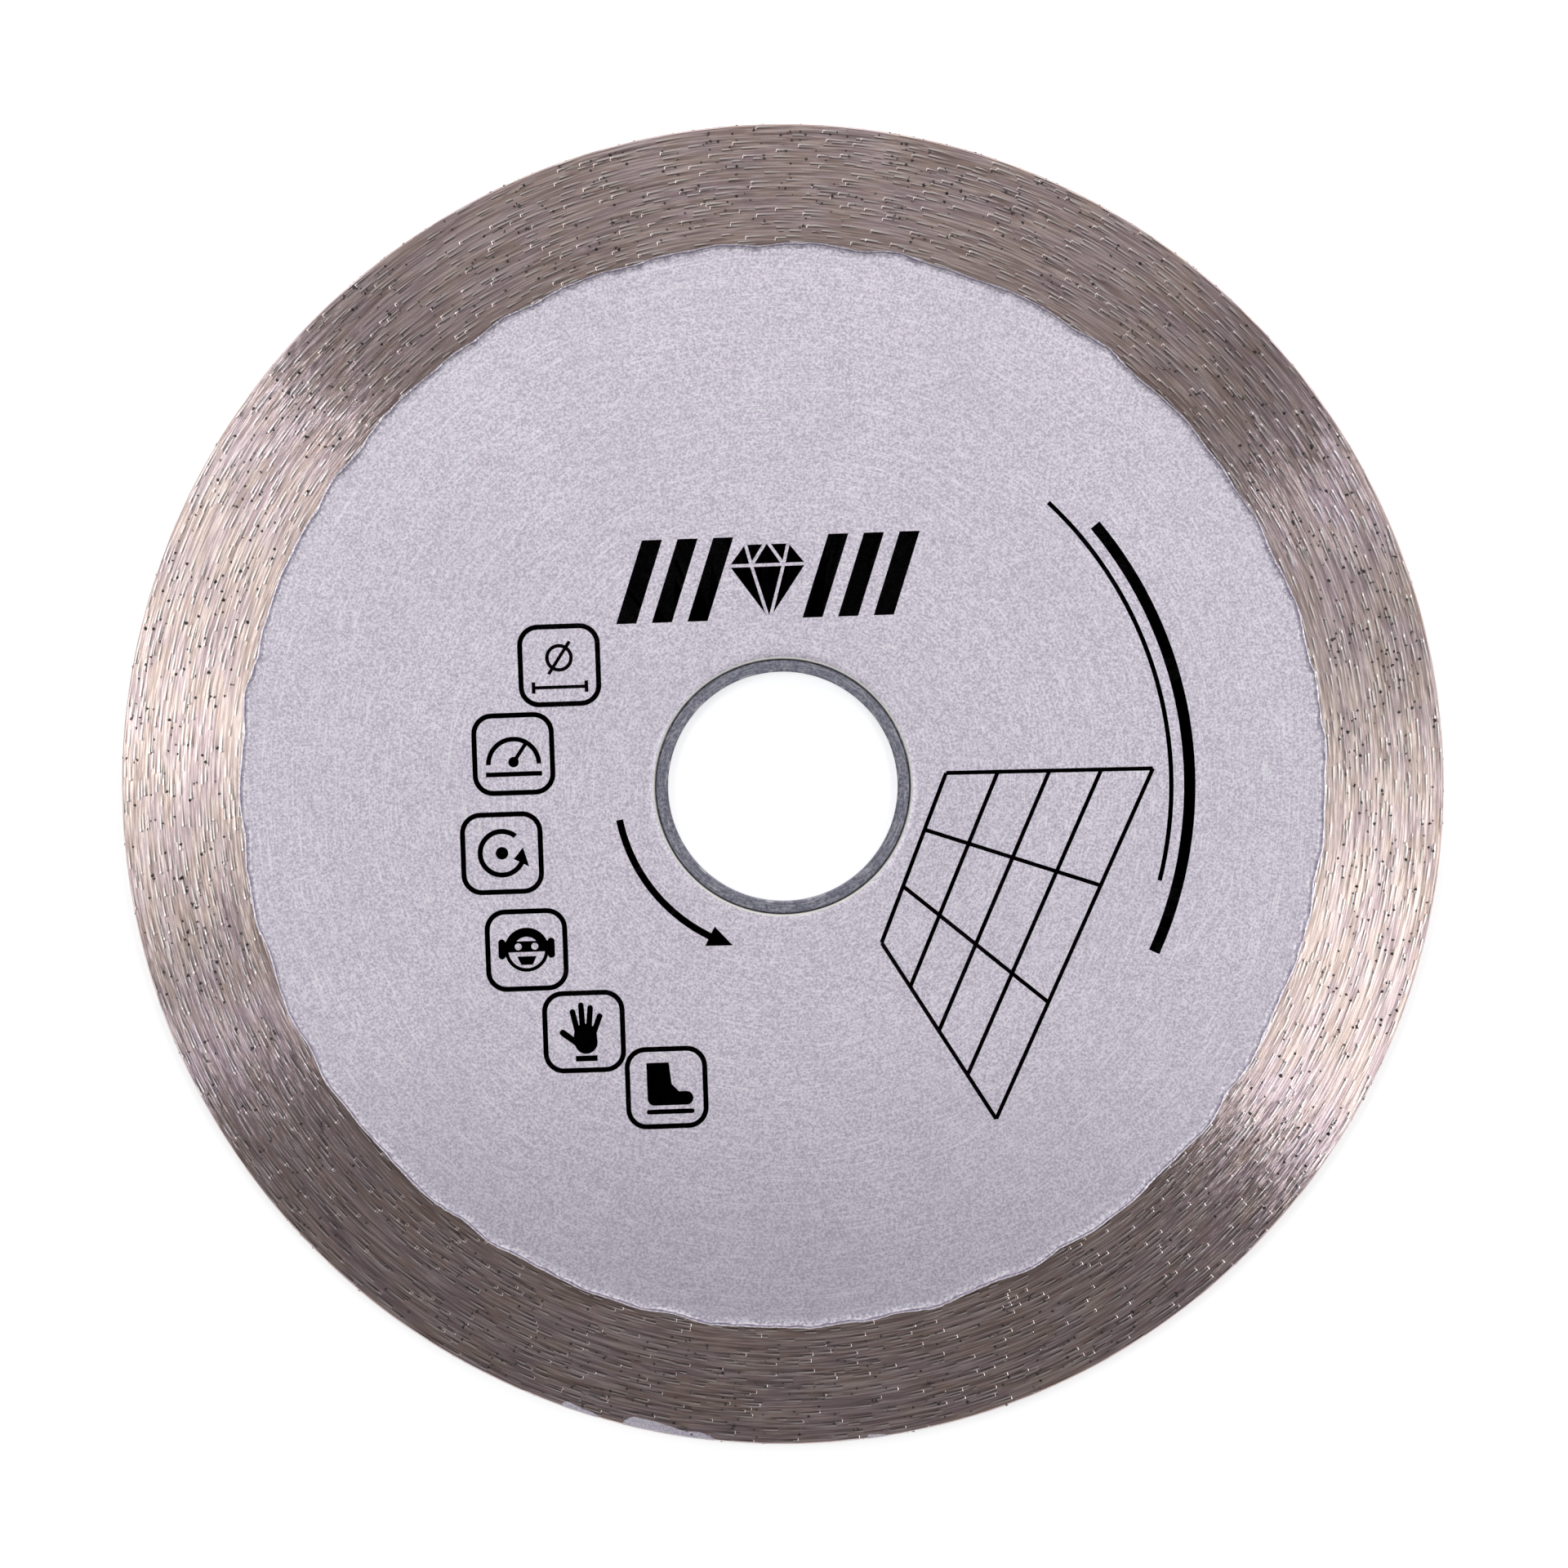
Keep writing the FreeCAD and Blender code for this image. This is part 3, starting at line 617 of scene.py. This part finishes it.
def ink_material():
    """Black screen ink: nearly matt, with the flake of the lacquer just showing through."""
    black, flake = (0.010, 0.010, 0.011, 1), (0.05, 0.05, 0.055, 1)
    shader = Shader("black_ink")
    grain = shader.noise(shader.place, 4200, 3)
    colour = shader.mix(shader.spread(grain, 0.62, 0.82), black, flake)
    normal = shader.bump(grain, 0.2, 0.01)
    return shader.finish(Base_Color=colour, Roughness=0.55, Normal=normal)


def diamond_material():
    """Synthetic diamond, nearly black, and a little browner from crystal to crystal."""
    black, brown = (0.008, 0.005, 0.007, 1), (0.045, 0.032, 0.03, 1)
    shader = Shader("diamond")
    tint = shader.noise(shader.place, 2500, 1)
    colour = shader.mix(shader.spread(tint, 0.35, 0.65), black, brown)
    return shader.finish(Base_Color=colour, Roughness=0.3, IOR=1.6)


# ---------------------------------------------------------------- putting it together


def paint_node(name, material):
    mesh = frame["nodes"][name].data
    mesh.materials.clear()
    mesh.materials.append(material)


def dress_the_frame():
    """Materials for the CAD nodes that stay as they are: the core, the ring and the print."""
    paint_node("steel_core", core_material())
    paint_node("reducing_ring", ring_material())
    ink = ink_material()
    for entry in frame["record"]["subparts"]:
        if entry["material_slot"] == "black_ink":
            paint_node(entry["node"], ink)


def build_blade():
    bond = ground_bond_material()
    front_scratches = make_rim_layer(1, "diamond_rim_front", bond, 3)
    back_scratches = make_rim_layer(-1, "diamond_rim_back", bond, 4)
    make_grit([(1, front_scratches), (-1, back_scratches)], diamond_material())
    make_backing(bond)
    lacquer = lacquer_material()
    make_lacquer(1, "front_lacquer", "front_paint", lacquer)
    make_lacquer(-1, "back_lacquer", "back_paint", lacquer)
    make_paint_remnants(lacquer)


# ---------------------------------------------------------------- floor, light and camera


def make_floor():
    """A large pale floor that glows a little, just under the blade."""
    reach, gap = 3.0, 0.05 * MM
    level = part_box("diamond_rim")[0].z - gap
    ways = [(-1, -1), (1, -1), (1, 1), (-1, 1)]
    mesh = bpy.data.meshes.new("floor")
    mesh.from_pydata([(x * reach, y * reach, level) for x, y in ways], [], [(0, 1, 2, 3)])
    shader = Shader("floor")
    mesh.materials.append(shader.finish(
        Base_Color=(0.9, 0.9, 0.9, 1), Roughness=0.8,
        Emission_Color=(1, 1, 1, 1), Emission_Strength=0.5,
    ))
    floor = bpy.data.objects.new("floor", mesh)
    bpy.context.scene.collection.objects.link(floor)


def add_area_light(name, azimuth, from_zenith, distance, width, height, radiance, colour=(1, 1, 1)):
    """A softbox aimed at the blade's centre. Angles are in degrees."""
    around, down = math.radians(azimuth), math.radians(from_zenith)
    across = math.sin(down)
    direction = Vector((across * math.cos(around), across * math.sin(around), math.cos(down)))
    place = distance * direction
    data = bpy.data.lights.new(name, "AREA")
    data.shape = "RECTANGLE"
    data.size = width
    data.size_y = height
    data.energy = radiance * math.pi * width * height
    data.color = colour
    light = bpy.data.objects.new(name, data)
    light.location = place
    light.rotation_euler = (-place).to_track_quat("-Z", "Y").to_euler()
    bpy.context.scene.collection.objects.link(light)


def make_studio_walls():
    """Pale low walls under a dim ceiling, as the world's colour by height over the horizon."""
    wall, ceiling = 0.76, 0.17
    wall_top, ceiling_edge = 0.04, 0.26
    world = bpy.data.worlds.new("studio")
    world.use_nodes = True
    nodes, links = world.node_tree.nodes, world.node_tree.links
    direction = nodes.new("ShaderNodeTexCoord")
    parts = nodes.new("ShaderNodeSeparateXYZ")
    blend = nodes.new("ShaderNodeMapRange")
    blend.interpolation_type = "SMOOTHSTEP"
    blend.inputs["From Min"].default_value = wall_top
    blend.inputs["From Max"].default_value = ceiling_edge
    blend.inputs["To Min"].default_value = wall
    blend.inputs["To Max"].default_value = ceiling
    links.new(direction.outputs["Generated"], parts.inputs[0])
    links.new(parts.outputs[2], blend.inputs["Value"])
    links.new(blend.outputs[0], nodes["Background"].inputs["Strength"])
    nodes["Background"].inputs["Color"].default_value = (1.0, 0.97, 0.98, 1)
    bpy.context.scene.world = world


def make_light():
    """High panels on both sides, a softbox, a fill and two bright ends each, and two panels
    beyond the blade's top."""
    warm, cool = (0.95, 1.0, 0.985), (0.84, 0.88, 1.0)
    # Name, azimuth, half of the azimuth that it spans, radiance and colour.
    panels = [
        ("right_softbox", -21, 13, 4.7, warm),
        ("right_fill", 6, 10, 1.8, warm),
        ("right_low_end", -38, 2, 6.0, cool),
        ("right_high_end", 22, 1.5, 8.0, cool),
        ("left_softbox", 168, 15, 4.0, warm),
        ("left_fill", 190, 10, 3.3, warm),
        ("left_high_end", 150, 2, 5.4, cool),
        ("left_low_end", 210, 1.2, 7.0, cool),
    ]
    from_zenith, distance, height = 27, 0.8, 0.30
    across = distance * math.sin(math.radians(from_zenith))
    for name, azimuth, half_span, radiance, colour in panels:
        width = 2 * across * math.tan(math.radians(half_span))
        add_area_light(name, azimuth, from_zenith, distance, width, height, radiance, colour)
    add_area_light(
        "top_softbox", azimuth=84, from_zenith=60, distance=0.22, width=0.60, height=0.20,
        radiance=1.07,
    )
    add_area_light(
        "top_sheen", azimuth=90, from_zenith=20, distance=0.60, width=0.50, height=0.20,
        radiance=0.70,
    )
    make_studio_walls()
    bpy.context.scene.view_settings.view_transform = "Standard"


def make_camera():
    """Straight above the blade, a touch towards its top, through a long lens."""
    distance, tilt = 0.62, math.radians(2.6)
    half_view = 0.0683
    data = bpy.data.cameras.new("camera")
    data.sensor_width = 36
    data.lens = data.sensor_width / 2 * distance / half_view
    camera = bpy.data.objects.new("camera", data)
    aim = Vector((0.0001, 0.0002, 0))
    camera.location = aim + distance * Vector((0, math.sin(tilt), math.cos(tilt)))
    camera.rotation_euler = (-tilt, 0, 0)
    bpy.context.scene.collection.objects.link(camera)
    bpy.context.scene.camera = camera


dress_the_frame()
build_blade()
make_floor()
make_light()
make_camera()
